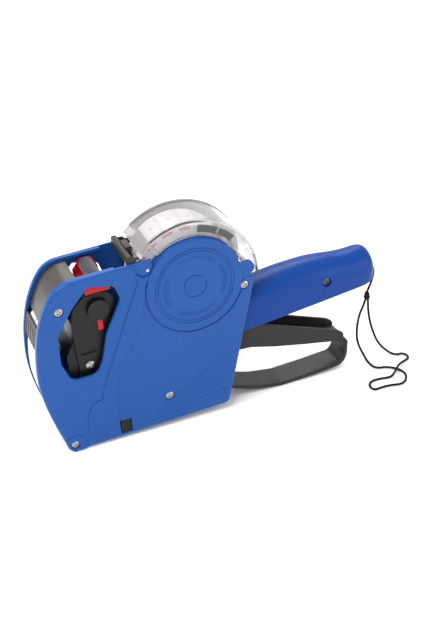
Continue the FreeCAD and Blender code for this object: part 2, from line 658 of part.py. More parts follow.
def cross_screw(x, z, y_out, sgn, r, h, shank_r, shank_l, slot=0.8):
    """Pan head screw lying along Y; its head sits outside y_out."""
    d = Vector(0, sgn, 0)
    head = Part.makeCylinder(r, h * 0.5, Vector(0, 0, 0), Vector(0, 0, 1))
    R = (r * r + (h * 0.5) ** 2) / (h)
    dome = Part.makeSphere(R, Vector(0, 0, h - R)).common(Part.makeCylinder(r, h, Vector(0, 0, h * 0.5)))
    s = head.fuse(dome)
    for a in (0, 90):
        bx = Part.makeBox(2 * r * 0.62, slot, h * 0.75, Vector(-r * 0.62, -slot / 2, h * 0.42))
        bx.rotate(Vector(0, 0, 0), Vector(0, 0, 1), a + 20)
        s = s.cut(bx)
    s = s.fuse(Part.makeCylinder(shank_r, shank_l, Vector(0, 0, -shank_l)))
    s = s.removeSplitter()
    s.Placement = Placement(Vector(x, y_out, z), Rotation(Vector(1, 0, 0), 90 if sgn < 0 else -90))
    return s


feature("head_screws", Part.Compound([cross_screw(17.6, 56.8, s * D["arm_out"], s, 2.9, 1.5, 1.15, 1.3) for s in (-1, 1)]))

# ---------------------------------------------------------------- inking
holder = new_body("ink_holder")
grow(holder, [rounded([(21.8, 104.9, 0.5), (37.6, 104.9, 0.5), (37.6, 106.9, 0.5), (21.8, 106.9, 0.5)])], -13.2, 13.2)
for sgn in (-1, 1):
    grow(holder, [rounded([(21.8, 104.9, 0.5), (37.6, 104.9, 0.5), (37.6, 109.0, 1.5), (34.4, 115.8, 2.5),
                           (27.2, 115.8, 2.5), (21.8, 109.6, 1.5)])], *span(sgn, 11.6, 13.2))
soften(holder, 0.4, (-13.2, 13.2))
carve(holder, [("c", 30.4, 112.3, 1.3)], -14.0, 14.0)
node(holder, "ink_holder")
node(cyl_y("ink_axle", 30.4, 112.3, 1.25, -13.2, 13.2), "ink_axle")
ring_y("ink_roller", 30.4, 112.3, 1.3, 4.5, -11.2, 11.2)

# ---------------------------------------------------------------- label path
PATH = [(53.42, 99.0), (53.42, 36.2, 6.0), (-13.2, 36.2, 4.0), (-14.9, 50.0, 40.0), (-14.7, 60.0, 60.0),
        (-13.1, 72.0, 40.0), (-10.4, 82.0, 30.0), (-7.6, 90.6, 2.2), (-3.0, 90.9, 1.8), (-2.2, 85.0)]
prism("label_strip", [ribbon(PATH, D["strip_thick"])], "-(dims.strip_half)", "dims.strip_half")
prism("tape_guide", [rounded([(-9.2, 40.4, 1.0), (-12.7, 38.9, 1.0), (-14.35, 50.2, 40.0), (-14.15, 59.8, 60.0),
                              (-12.55, 71.9, 40.0), (-9.85, 81.8, 20.0), (-7.3, 88.7, 1.6), (-4.2, 89.2, 1.0),
                              (-3.7, 85.0, 1.0), (-6.4, 79.6, 10.0), (-9.0, 71.0, 30.0), (-10.8, 60.0, 40.0),
                              (-10.8, 50.0, 40.0)])], -11.8, 11.8)
keep = new_body("tape_keeper")
KEEP = rounded([(-13.55, 77.0, 0.4), (-11.3, 86.6, 30.0), (-9.7, 91.3, 0.4), (-8.8, 90.9, 0.4), (-10.3, 86.2, 28.0),
                (-12.45, 77.0, 0.4)])
grow(keep, [KEEP], -13.2, 13.2)
for yy in (-9.0, -4.5, 0.0, 4.5, 9.0):
    carve(keep, [rounded([(-14.5, 76.0), (-9.6, 76.0), (-9.6, 88.0), (-14.5, 88.0)])], yy - 0.5, yy + 0.5)
node(keep, "tape_keeper")
prism("platen", [rounded([(11.0, 33.0, 0.3), (31.0, 33.0, 0.3), (31.0, 36.0, 0.6), (11.0, 36.0, 0.6)])], -11.4, 11.4)
prism("platen_block", [rounded([(8.0, 27.0, 1.0), (30.8, 27.0, 1.0), (30.8, 33.0), (8.0, 33.0)])],
      "-(dims.half_w) + dims.wall", "dims.half_w - dims.wall")

# ---------------------------------------------------------------- label roll
ring_y("label_roll", "dims.roll_x", "dims.roll_z", "dims.core_rad", "dims.roll_rad", "-(dims.roll_half)", "dims.roll_half")
ring_y("roll_core", "dims.roll_x", "dims.roll_z", "dims.core_bore", "dims.core_rad", "-(dims.roll_half)", "dims.roll_half")
a = ring_y("spindle_drum", D["roll_x"], D["roll_z"], 9.8, "dims.spindle_rad", -11.0, 11.0, add=False)
e1 = ring_y("spindle_hub", D["roll_x"], D["roll_z"], 3.0, 10.4, -15.8, 15.8, add=False)
fuse("roll_spindle", [a, e1])

# ---------------------------------------------------------------- feed wheel
drum = cyl_y("feed_drum_core", "dims.feed_x", "dims.feed_z", "dims.feed_rad", -8.0, 8.0)
teeth = []
for k in range(12):
    for yy in (-5.2, 3.6):
        bx = doc.addObject("Part::Box", "feed_tooth")
        bx.Length, bx.Width, bx.Height = 1.2, 1.6, 1.2
        spin = Placement(Vector(D["feed_x"], yy, D["feed_z"]), Rotation(Vector(0, 1, 0), 30.0 * k + 15.0))
        bx.Placement = spin.multiply(Placement(Vector(-0.6, 0, D["feed_rad"] - 0.5), Rotation()))
        teeth.append(bx)
drum_all = fuse("feed_drum_solid", [drum] + teeth, add=False)
cut("feed_drum", drum_all, cyl_y("feed_bore", "dims.feed_x", "dims.feed_z", 2.05, -9.0, 9.0))
RATCH = []
for k in range(12):
    a0 = math.radians(30.0 * k)
    a1 = math.radians(30.0 * k + 4.0)
    RATCH.append((D["feed_x"] + 7.0 * math.cos(a0), D["feed_z"] + 7.0 * math.sin(a0)))
    RATCH.append((D["feed_x"] + 5.7 * math.cos(a1), D["feed_z"] + 5.7 * math.sin(a1)))
rb = new_body("ratchet_wheel")
grow(rb, [rounded(RATCH), ("c", D["feed_x"], D["feed_z"], 2.05)], 8.0, 10.0)
node(rb, "ratchet_wheel")
node(cyl_y("feed_axle", "dims.feed_x", "dims.feed_z", 2.0, "-(dims.half_w) + dims.wall", "dims.half_w - dims.wall"), "feed_axle")
pawl = new_body("ratchet_pawl")
grow(pawl, [rounded([(57.6, 28.4, 0.6), (62.4, 27.6, 2.4), (60.6, 23.0, 2.4), (56.4, 23.4, 0.6), (50.0, 24.2, 0.3), (49.7, 25.6, 0.2)]),
            ("c", 59.6, 25.6, 1.25)], 8.1, 9.9)
node(pawl, "ratchet_pawl")
node(cyl_y("pawl_pin", 59.6, 25.6, 1.2, 6.0, "dims.half_w - dims.wall"), "pawl_pin")

# ---------------------------------------------------------------- applicator roller
node(cyl_y("applicator_axle", "dims.appl_x", "dims.appl_z", 1.8, "-(dims.half_w) + dims.wall", "dims.half_w - dims.wall"), "applicator_axle")
ring_y("applicator_roller", "dims.appl_x", "dims.appl_z", 1.85, "dims.appl_rad", -12.0, 12.0)

# ---------------------------------------------------------------- clear cover
CX, CZ, CR = D["cover_cx"], D["cover_cz"], D["cover_rad"]
cc = new_body("clear_cover")
grow(cc, [ring_band(CX, CZ, CR - D["cover_wall"], CR, -3.5, 126.5)], -15.5, 15.5)
grow(cc, [ring_band(CX, CZ, CR - 1.1, CR - 0.2, 126.0, 134.0)], -15.5, 15.5)
for sgn in (-1, 1):
    grow(cc, [ring_band(CX, CZ, 33.2, CR - 0.5, 7.0, 126.5)], *span(sgn, 14.0, 15.5))
    grow(cc, [rounded([(119.8, 94.6, 1.0), (120.6, 98.4, 1.0), (126.0, 103.0, 0.5), (129.6, 99.0, 0.5), (129.9, 90.9, 0.5),
                       (125.6, 90.6, 2.0), (121.6, 91.8, 2.0)])], *span(sgn, 14.0, 15.5))
    # hollow side rail that stands proud of the top as a bright rim
    grow(cc, [ring_band(CX, CZ, CR - 0.8, CR + 0.5, -2.0, 126.5)], *span(sgn, 14.3, 15.5))
carve(cc, [("c", D["hinge_x"], D["hinge_z"], 1.55)], -17.0, 17.0)
node(cc, "clear_cover")
cheeks = []
for sgn in (-1,):
    for a0, a1 in ((40.5, 56.5), (59.0, 78.0)):
        loop = ring_band(CX, CZ, 35.2, 39.4, a0, a1)
        f = face_of(loop)
        f.translate(Vector(0, 12.4 if sgn > 0 else -14.0, 0))
        cheeks.append(f.extrude(Vector(0, 1.6, 0)))
feature("roll_guide_cheeks", Part.Compound(cheeks))
node(cyl_y("lid_hinge_pin", "dims.hinge_x", "dims.hinge_z", 1.5, -17.2, 17.2), "lid_hinge_pin")

# ---------------------------------------------------------------- lid latch
lt = new_body("lid_latch")
grow(lt, [rounded([(48.4, 118.4, 1.0), (52.5, 118.4, 1.0), (53.0, 123.4, 1.4), (49.2, 123.8, 1.4)])], -15.3, 15.3)
for sgn in (-1, 1):
    grow(lt, [rounded([(49.6, 119.6, 0.6), (57.4, 109.9, 1.9), (61.9, 110.6, 1.7), (62.4, 114.4, 1.7), (58.4, 118.0, 2.0),
                       (56.6, 121.6, 1.4), (52.0, 122.2, 0.4)])], *span(sgn, 13.9, 15.3))
grow(lt, [rounded([(51.6, 121.3, 0.2), (56.2, 121.3, 0.5), (56.2, 124.6, 1.0), (51.8, 124.6, 1.0)])], -5.0, 5.0)
soften(lt, 0.35, (-15.3, 15.3))
carve(lt, [("c", 60.3, 112.6, 0.95)], -17.0, 17.0)
carve(lt, [("c", 55.6, 118.8, 1.5)], -17.0, 17.0)
node(lt, "lid_latch")
node(cyl_y("latch_rod", 55.6, 118.8, 1.5, -15.6, 15.6), "latch_rod")
pins = [cyl_y("latch_pin_a", 60.3, 112.6, 0.9, -17.3, -13.0), cyl_y("latch_pin_b", 60.3, 112.6, 0.9, 13.0, 17.3)]
group("latch_pins", pins)

# ---------------------------------------------------------------- underside
bc = new_body("bottom_cover")
grow(bc, [rounded([(10.0, 0.25, 0.6), (98.6, 0.25, 0.4), (98.6, 2.2), (10.0, 2.2, 0.4)])], -13.1, 13.1)
grow(bc, [("c", 98.6, 3.4, 2.6)], -13.1, 13.1)
for yy in (-9.0, 9.0):
    grow(bc, [rounded([(14.0, 2.0), (92.0, 2.0), (90.0, 4.2, 0.5), (16.0, 4.2, 0.5)])], yy - 0.8, yy + 0.8)
carve(bc, [("c", 98.6, 3.4, 1.25)], -14.0, 14.0)
node(bc, "bottom_cover")
node(cyl_y("bottom_hinge_pin", 98.6, 3.4, 1.2, "-(dims.half_w) + dims.wall", "dims.half_w - dims.wall"), "bottom_hinge_pin")
for nm, sgn in (("latch_button_left", -1), ("latch_button_right", 1)):
    b = new_body(nm)
    grow(b, [rounded([(28.7, 3.1, 0.3), (35.4, 3.1, 0.3), (35.4, 11.9, 0.3), (28.7, 11.9, 0.3)])], *span(sgn, 14.4, 17.4))
    grow(b, [rounded([(29.0, 3.3, 0.2), (31.0, 3.3, 0.2), (31.0, 11.7, 0.2), (29.0, 11.7, 0.2)])], *span(sgn, 17.4, 18.1))
    node(b, nm)

# ---------------------------------------------------------------- posts and screws
posts = []
for k, (x, z) in enumerate(((3.8, 101.5), (63.0, 20.0), (120.0, 84.4))):
    posts.append(ring_y("post%d" % k, x, z, 1.3, 3.0, "-(dims.half_w) + dims.wall", "dims.half_w - dims.wall", add=False))
group("spacer_posts", posts)
screws = []
for sgn in (-1, 1):
    for x, z in ((3.8, 101.5), (-1.8, 5.2), (63.0, 20.0), (120.0, 84.4)):
        screws.append(cross_screw(x, z, sgn * (D["half_w"] - 1.1), sgn, 2.55, 1.5, 1.3, 1.05, 0.75))
feature("case_screws", Part.Compound(screws))
feature("handle_screw", cross_screw(178.3, 65.3, -11.6, -1, 2.6, 1.4, 1.25, 8.0, 0.75))

# ---------------------------------------------------------------- wrist cord
# Routes are in the standing frame, in millimetres, and move with the body along X.
CORD_X = 103.0 - D["shift_x"]
STUB = [(100.2, 0.0, 70.0), (104.9, 0.0, 70.6), (109.6, 0.0, 70.7), (112.7, 0.0, 69.0), (113.7, 0.0, 64.4), (112.4, 0.0, 58.4),
        (110.4, 0.0, 53.4), (108.9, 0.0, 50.2)]
LOOPC = [(107.9, 0.0, 44.4), (106.3, -0.2, 40.0), (103.1, 0.0, 32.6), (101.6, 0.0, 22.0), (102.3, 0.0, 11.0),
         (106.4, -2.0, 0.82), (104.6, -12.0, 0.82), (106.0, -20.2, 0.82), (113.8, -21.5, 0.82), (119.9, -28.0, 0.82),
         (121.2, -35.6, 0.82), (114.4, -44.0, 0.82), (105.0, -41.4, 0.82), (98.5, -41.0, 0.82), (92.9, -41.8, 0.82),
         (91.8, -36.4, 0.82), (95.6, -31.8, 0.82), (103.5, -32.0, 0.82), (110.6, -33.8, 0.82), (116.0, -29.9, 2.9),
         (120.8, -25.3, 2.9), (127.0, -20.8, 0.82), (133.4, -18.4, 0.82), (132.0, -11.6, 0.82), (125.8, -11.8, 0.82),
         (122.6, -4.6, 1.2), (118.6, 0.0, 6.2), (114.7, 0.0, 15.6), (111.5, 0.0, 26.4), (110.0, 0.0, 36.4),
         (109.7, 0.0, 44.4)]


def cord_wire(route):
    pts = [Vector(p[0] + CORD_X, p[1], p[2]) for p in route]
    edges, radii = [], []
    prev = pts[0]
    for i in range(1, len(pts) - 1):
        a, p, b = pts[i - 1], pts[i], pts[i + 1]
        u, v = (a - p), (b - p)
        lu, lv = u.Length, v.Length
        u.normalize()
        v.normalize()
        turn = math.pi - u.getAngle(v)
        cutl = 0.45 * min(lu, lv)
        r = cutl / math.tan(turn / 2)
        radii.append((round(r, 1), round(math.degrees(turn))))
        s, e = p + u * cutl, p + v * cutl
        w = u + v
        w.normalize()
        mid = p + w * (r / math.cos(turn / 2) - r)
        edges.append(Part.LineSegment(prev, s).toShape())
        edges.append(Part.Arc(s, mid, e).toShape())
        prev = e
    edges.append(Part.LineSegment(prev, pts[-1]).toShape())
    return Part.Wire(edges), radii


def tube(label, route):
    wire, radii = cord_wire(route)
    r = D["cord_dia"] / 2
    d = Vector(*route[1]) - Vector(*route[0])
    ring = Part.Wire(Part.makeCircle(r, Vector(route[0][0] + CORD_X, route[0][1], route[0][2]), d))
    shape = wire.makePipeShell([ring], True, False)
    want = math.pi * r * r * wire.Length
    print(label, "length", round(wire.Length, 1), "volume ratio", round(shape.Volume / want, 4), "radii/turns", radii)
    o = feature(label, shape)
    return o


STANDING = ["lanyard_stub", "lanyard_knot", "lanyard_loop"]
tube("lanyard_stub", STUB)
tube("lanyard_loop", LOOPC)
prof = [(0.0, 44.75), (1.75, 44.75), (2.15, 45.5), (2.2, 46.6), (1.75, 47.4), (1.8, 48.5), (1.3, 49.85), (0.0, 49.85)]
w = Part.makePolygon([Vector(x, 0, z) for x, z in prof] + [Vector(prof[0][0], 0, prof[0][1])])
bead = Part.Face(w).revolve(Vector(0, 0, 0), Vector(0, 0, 1), 360)
bead.translate(Vector(108.85 + CORD_X, 0, 0))
feature("lanyard_knot", bead)

# bores for the cord in both handle halves
for half, sgn in ((hl, -1), (hr, 1)):
    sk = section_sketch(half, 204.0, [[("a", (0.0, 59.3), (sgn * 1.7, 61.0), (0.0, 62.7)), ("l", (0.0, 62.7), (0.0, 59.3))]])
    COUNT[0] += 1
    hole = half.newObject("PartDesign::Pocket", "pocket%d" % COUNT[0])
    hole.Profile = sk
    hole.Type = 0
    hole.Length = 16.0
    hole.Reversed = True

# ---------------------------------------------------------------- finish
doc.recompute()
bad = []
for o in doc.Objects:
    for s in o.State:
        if "Invalid" in s or "Error" in s:
            bad.append((o.Name, o.Label, s))
if bad:
    raise RuntimeError("failed objects: %r" % bad)
os.makedirs("parts", exist_ok=True)
for label, obj in NODES:
    if label not in STANDING:
        obj.Placement = GLOBAL.multiply(obj.Placement)
doc.recompute()
for label, obj in NODES:
    shp = obj.Shape
    if shp.isNull() or not shp.isValid() or shp.Volume <= 0:
        raise RuntimeError("bad shape: " + label)
    shp.exportStep("parts/%s.step" % label)
lo = [min(o.Shape.BoundBox.XMin for _, o in NODES), min(o.Shape.BoundBox.YMin for _, o in NODES),
      min(o.Shape.BoundBox.ZMin for _, o in NODES)]
hi = [max(o.Shape.BoundBox.XMax for _, o in NODES), max(o.Shape.BoundBox.YMax for _, o in NODES),
      max(o.Shape.BoundBox.ZMax for _, o in NODES)]
print(len(NODES), "nodes, box", [round(v, 2) for v in lo], [round(v, 2) for v in hi])
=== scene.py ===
import bpy, bmesh, math, json, random
from mathutils import Vector, Matrix


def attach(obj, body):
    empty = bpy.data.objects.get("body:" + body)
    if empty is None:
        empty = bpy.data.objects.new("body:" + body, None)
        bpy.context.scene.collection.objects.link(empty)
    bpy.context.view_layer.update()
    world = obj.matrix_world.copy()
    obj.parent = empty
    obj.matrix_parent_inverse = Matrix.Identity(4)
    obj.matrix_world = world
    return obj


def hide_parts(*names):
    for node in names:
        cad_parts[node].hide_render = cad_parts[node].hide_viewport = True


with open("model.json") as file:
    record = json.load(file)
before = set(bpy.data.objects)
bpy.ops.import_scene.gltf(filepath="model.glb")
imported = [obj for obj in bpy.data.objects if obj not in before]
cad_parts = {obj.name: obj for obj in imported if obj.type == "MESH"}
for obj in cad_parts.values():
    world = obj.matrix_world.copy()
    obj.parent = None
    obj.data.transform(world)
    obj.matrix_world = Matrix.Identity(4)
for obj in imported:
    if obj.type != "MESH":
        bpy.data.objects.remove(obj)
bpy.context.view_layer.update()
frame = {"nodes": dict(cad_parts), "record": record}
N = frame["nodes"]
random.seed(7)
scene = bpy.context.scene
MM = 0.001

# ------------------------------------------------------------------ design frame of the gun
TILT = math.radians(2.6)
SX, SZ = 96.955, 0.25


def at(x, z, y=0.0):
    """Point of the upright design (mm) in the standing frame (m)."""
    c, s = math.cos(TILT), math.sin(TILT)
    return Vector(((x * c - z * s - SX) * MM, y * MM, (x * s + z * c + SZ) * MM))


def vec(x, z, y=0.0):
    c, s = math.cos(TILT), math.sin(TILT)
    return Vector((x * c - z * s, y, x * s + z * c))


UP_M = Matrix.Rotation(-TILT, 4, "Y")
UP_M.translation = Vector((-SX * MM, 0, SZ * MM))

# ------------------------------------------------------------------ camera
cam_data = bpy.data.cameras.new("camera")
cam = bpy.data.objects.new("camera", cam_data)
scene.collection.objects.link(cam)
right = Vector((0.92711683, -0.37137, -0.05053523))
upv = Vector((0.23612281, 0.47403, 0.84827448))
fwd = Vector((0.29105361, 0.79837, -0.52716962)).normalized()
right = (right - fwd * right.dot(fwd)).normalized()
upv = right.cross(fwd)
rot = Matrix((right, upv, -fwd)).transposed().to_4x4()
rot.translation = Vector((-201.841, -559.3, 431.836)) * MM
cam.matrix_world = rot
cam_data.sensor_fit = "AUTO"
cam_data.sensor_width = 36.0
cam_data.lens = 62.757
cam_data.clip_start = 0.01
cam_data.clip_end = 30.0
scene.camera = cam
scene.view_settings.view_transform = "Standard"

# ------------------------------------------------------------------ wrist cord
CORD_X = 103.0 - SX
STUB = [(100.2, 0.0, 70.0), (104.9, 0.0, 70.6), (109.6, 0.0, 70.7), (112.7, 0.0, 69.0), (113.7, 0.0, 64.4), (112.4, 0.0, 58.4),
        (110.4, 0.0, 53.4), (108.9, 0.0, 50.2)]
LOOPC = [(107.9, 0.0, 44.4), (106.3, -0.2, 40.0), (103.1, 0.0, 32.6), (101.6, 0.0, 22.0), (102.3, 0.0, 11.0),
         (106.4, -2.0, 0.82), (104.6, -12.0, 0.82), (106.0, -20.2, 0.82), (113.8, -21.5, 0.82), (119.9, -28.0, 0.82),
         (121.2, -35.6, 0.82), (114.4, -44.0, 0.82), (105.0, -41.4, 0.82), (98.5, -41.0, 0.82), (92.9, -41.8, 0.82),
         (91.8, -36.4, 0.82), (95.6, -31.8, 0.82), (103.5, -32.0, 0.82), (110.6, -33.8, 0.82), (116.0, -29.9, 2.9),
         (120.8, -25.3, 2.9), (127.0, -20.8, 0.82), (133.4, -18.4, 0.82), (132.0, -11.6, 0.82), (125.8, -11.8, 0.82),
         (122.6, -4.6, 1.2), (118.6, 0.0, 6.2), (114.7, 0.0, 15.6), (111.5, 0.0, 26.4), (110.0, 0.0, 36.4),
         (109.7, 0.0, 44.4)]


def cord_curve(name, pts, dia):
    cu = bpy.data.curves.new(name, "CURVE")
    cu.dimensions = "3D"
    sp = cu.splines.new("NURBS")
    sp.points.add(len(pts) - 1)
    for p, q in zip(sp.points, pts):
        p.co = ((q[0] + CORD_X) * MM, q[1] * MM, q[2] * MM, 1.0)
    sp.order_u = 3
    sp.use_endpoint_u = True
    sp.resolution_u = 8
    cu.bevel_depth = dia / 2
    cu.bevel_resolution = 5
    cu.use_fill_caps = True
    ob = bpy.data.objects.new(name, cu)
    scene.collection.objects.link(ob)
    return ob


# ------------------------------------------------------------------ node material helpers
def new_mat(name):
    m = bpy.data.materials.new(name)
    m.use_nodes = True
    nt = m.node_tree
    bsdf = nt.nodes["Principled BSDF"]
    return m, nt, bsdf


def lin(r, g, b):
    f = lambda c: (c / 255 / 12.92) if c / 255 <= 0.04045 else ((c / 255 + 0.055) / 1.055) ** 2.4
    return (f(r), f(g), f(b), 1.0)


def coords(nt):
    tc = nt.nodes.new("ShaderNodeTexCoord")
    return tc.outputs["Object"]


def noise(nt, co, scale, detail=3.0, rough=0.55):
    n = nt.nodes.new("ShaderNodeTexNoise")
    n.inputs["Scale"].default_value = scale
    n.inputs["Detail"].default_value = detail
    n.inputs["Roughness"].default_value = rough
    nt.links.new(co, n.inputs["Vector"])
    return n.outputs["Fac"]


def ramp(nt, fac, stops):
    r = nt.nodes.new("ShaderNodeValToRGB")
    els = r.color_ramp.elements
    while len(els) < len(stops):
        els.new(0.5)
    for e, (p, c) in zip(els, stops):
        e.position = p
        e.color = c if len(c) == 4 else (*c, 1.0)
    nt.links.new(fac, r.inputs["Fac"])
    return r.outputs["Color"]


def remap(nt, fac, lo, hi, a=0.0, b=1.0):
    r = nt.nodes.new("ShaderNodeMapRange")
    r.inputs["From Min"].default_value = a
    r.inputs["From Max"].default_value = b
    r.inputs["To Min"].default_value = lo
    r.inputs["To Max"].default_value = hi
    nt.links.new(fac, r.inputs["Value"])
    return r.outputs["Result"]


def mth(nt, op, a, b=None, c=None):
    n = nt.nodes.new("ShaderNodeMath")
    n.operation = op
    for i, v in enumerate((a, b, c)):
        if v is None:
            continue
        if isinstance(v, (int, float)):
            n.inputs[i].default_value = v
        else:
            nt.links.new(v, n.inputs[i])
    return n.outputs[0]


def mixc(nt, fac, a, b, mode="MIX"):
    n = nt.nodes.new("ShaderNodeMix")
    n.data_type = "RGBA"
    n.blend_type = mode
    if isinstance(fac, (int, float)):
        n.inputs[0].default_value = fac
    else:
        nt.links.new(fac, n.inputs[0])
    for i, v in ((6, a), (7, b)):
        if isinstance(v, tuple):
            n.inputs[i].default_value = v
        else:
            nt.links.new(v, n.inputs[i])
    return n.outputs[2]


def bump(nt, bsdf, heights, dist=0.0002, strength=1.0):
    """Adds height fields as chained bump nodes."""
    last = None
    for h, s, d in heights:
        b = nt.nodes.new("ShaderNodeBump")
        b.inputs["Strength"].default_value = s
        b.inputs["Distance"].default_value = d
        nt.links.new(h, b.inputs["Height"])
        if last is not None:
            nt.links.new(last, b.inputs["Normal"])
        last = b.outputs["Normal"]
    nt.links.new(last, bsdf.inputs["Normal"])


def scale_rgb(c, k):
    return (min(1, c[0] * k), min(1, c[1] * k), min(1, c[2] * k), 1.0)


def plastic(name, rgb, rough=0.36, rvar=0.08, tone=0.05, grain=0.12, grain_scale=1600, scuff=0.0, spec=0.25, coat=0.0):
    m, nt, bsdf = new_mat(name)
    co = coords(nt)
    big = noise(nt, co, 22.0, 2.0)
    fine = noise(nt, co, 260.0, 4.0)
    col = ramp(nt, big, [(0.25, scale_rgb(rgb, 1 - tone)), (0.75, scale_rgb(rgb, 1 + tone))])
    col = mixc(nt, remap(nt, fine, 0.0, 0.06, 0.35, 0.7), col, scale_rgb(rgb, 1.12))
    if scuff:
        st = nt.nodes.new("ShaderNodeMapping")
        st.inputs["Scale"].default_value = (90, 90, 900)
        st.inputs["Rotation"].default_value = (0.3, 0.9, 0.2)
        nt.links.new(co, st.inputs["Vector"])
        sc = noise(nt, st.outputs["Vector"], 1.0, 6.0, 0.7)
        mask = remap(nt, sc, 0.0, scuff, 0.62, 0.78)
        col = mixc(nt, mask, col, scale_rgb(tuple(0.6 * v + 0.25 for v in rgb[:3]) + (1.0,), 1.0))
    nt.links.new(col, bsdf.inputs["Base Color"])
    rr = noise(nt, co, 75.0, 5.0, 0.65)
    nt.links.new(remap(nt, rr, rough - rvar, rough + rvar, 0.3, 0.7), bsdf.inputs["Roughness"])
    g = noise(nt, co, grain_scale, 2.0, 0.6)
    soft = noise(nt, co, 48.0, 1.0, 0.4)
    bump(nt, bsdf, [(soft, 0.25, 0.00018), (g, grain, 0.00008)])
    bsdf.inputs["Specular IOR Level"].default_value = spec
    if coat:
        bsdf.inputs["Coat Weight"].default_value = coat
        bsdf.inputs["Coat Roughness"].default_value = 0.15
    return m


def metal(name, rgb, rough=0.28, streak=0.5, axis="Y", aniso=0.0):
    m, nt, bsdf = new_mat(name)
    co = coords(nt)
    mp = nt.nodes.new("ShaderNodeMapping")
    mp.inputs["Scale"].default_value = {"Y": (2200, 120, 2200), "Z": (2200, 2200, 120), "N": (900, 900, 900)}[axis]
    nt.links.new(co, mp.inputs["Vector"])
    n = noise(nt, mp.outputs["Vector"], 1.0, 4.0, 0.6)
    col = ramp(nt, n, [(0.3, scale_rgb(rgb, 0.86)), (0.7, rgb)])
    nt.links.new(col, bsdf.inputs["Base Color"])
    nt.links.new(remap(nt, n, rough * 0.75, rough * 1.3, 0.25, 0.75), bsdf.inputs["Roughness"])
    bump(nt, bsdf, [(n, streak * 0.3, 0.00004)])
    bsdf.inputs["Metallic"].default_value = 1.0
    return m


BODY_BLUE = (0.0045, 0.059, 0.250, 1)
HANDLE_BLUE = (0.0015, 0.036, 0.205, 1)
M = {}
M["body_blue"] = plastic("body_blue", BODY_BLUE, rough=0.34, tone=0.035, grain=0.10)
M["handle_blue"] = plastic("handle_blue", HANDLE_BLUE, rough=0.33, tone=0.03, grain=0.08, spec=0.16)
M["dark_grey"] = plastic("dark_grey", (0.0150, 0.0132, 0.0130, 1), rough=0.40, tone=0.08, grain=0.22)
M["black_plastic"] = plastic("black_plastic", (0.0055, 0.0053, 0.0058, 1), rough=0.38, tone=0.08, grain=0.16)
M["dark_bar"] = plastic("dark_bar", (0.026, 0.0245, 0.0215, 1), rough=0.42, tone=0.08, grain=0.20)
M["red_plastic"] = plastic("red_plastic", (0.40, 0.006, 0.014, 1), rough=0.30, tone=0.05, grain=0.08)
M["white_plastic"] = plastic("white_plastic", lin(222, 220, 212), rough=0.42, tone=0.03, grain=0.12)
M["feed_rubber"] = plastic("feed_rubber", (0.012, 0.011, 0.011, 1), rough=0.62, tone=0.10, grain=0.5, grain_scale=1100, spec=0.2)
M["print_rubber"] = plastic("print_rubber", (0.009, 0.009, 0.010, 1), rough=0.55, tone=0.10, grain=0.4, grain_scale=1300, spec=0.2)
M["steel"] = metal("steel", (0.55, 0.55, 0.56, 1), 0.26, 0.6, "Y")
M["bright_screw"] = metal("bright_screw", (0.37, 0.36, 0.355, 1), 0.27, 0.5, "N")
M["dark_screw"] = metal("dark_screw", (0.10, 0.10, 0.11, 1), 0.38, 0.5, "N")


def felt():
    m, nt, bsdf = new_mat("ink_felt")
    co = coords(nt)
    n = noise(nt, co, 900, 6.0, 0.75)
    blot = noise(nt, co, 140, 3.0)
    col = ramp(nt, n, [(0.3, (0.004, 0.003, 0.008)), (0.7, (0.03, 0.022, 0.05))])
    col = mixc(nt, remap(nt, blot, 0.0, 0.6, 0.45, 0.65), col, (0.006, 0.004, 0.012, 1))
    nt.links.new(col, bsdf.inputs["Base Color"])
    bsdf.inputs["Roughness"].default_value = 0.85
    bsdf.inputs["Sheen Weight"].default_value = 0.3
    bump(nt, bsdf, [(n, 0.8, 0.0003)])
    return m


M["ink_felt"] = felt()


def card():
    m, nt, bsdf = new_mat("core_card")
    co = coords(nt)
    mp = nt.nodes.new("ShaderNodeMapping")
    mp.inputs["Location"].default_value = (-ROLL.x, 0, -ROLL.z)
    nt.links.new(co, mp.inputs["Vector"])
    w = nt.nodes.new("ShaderNodeTexWave")
    w.wave_type = "RINGS"
    w.rings_direction = "Y"
    w.inputs["Scale"].default_value = 420
    w.inputs["Distortion"].default_value = 1.2
    w.inputs["Detail"].default_value = 2.0
    nt.links.new(mp.outputs["Vector"], w.inputs["Vector"])
    n = noise(nt, co, 500, 5.0)
    col = mixc(nt, w.outputs["Fac"], lin(150, 122, 86), lin(184, 156, 118))
    col = mixc(nt, remap(nt, n, 0, 0.35), col, lin(120, 96, 66))
    nt.links.new(col, bsdf.inputs["Base Color"])
    bsdf.inputs["Roughness"].default_value = 0.85
    bump(nt, bsdf, [(n, 0.5, 0.0001)])
    return m


ROLL = at(85.2, 100.3)
M["core_card"] = card()


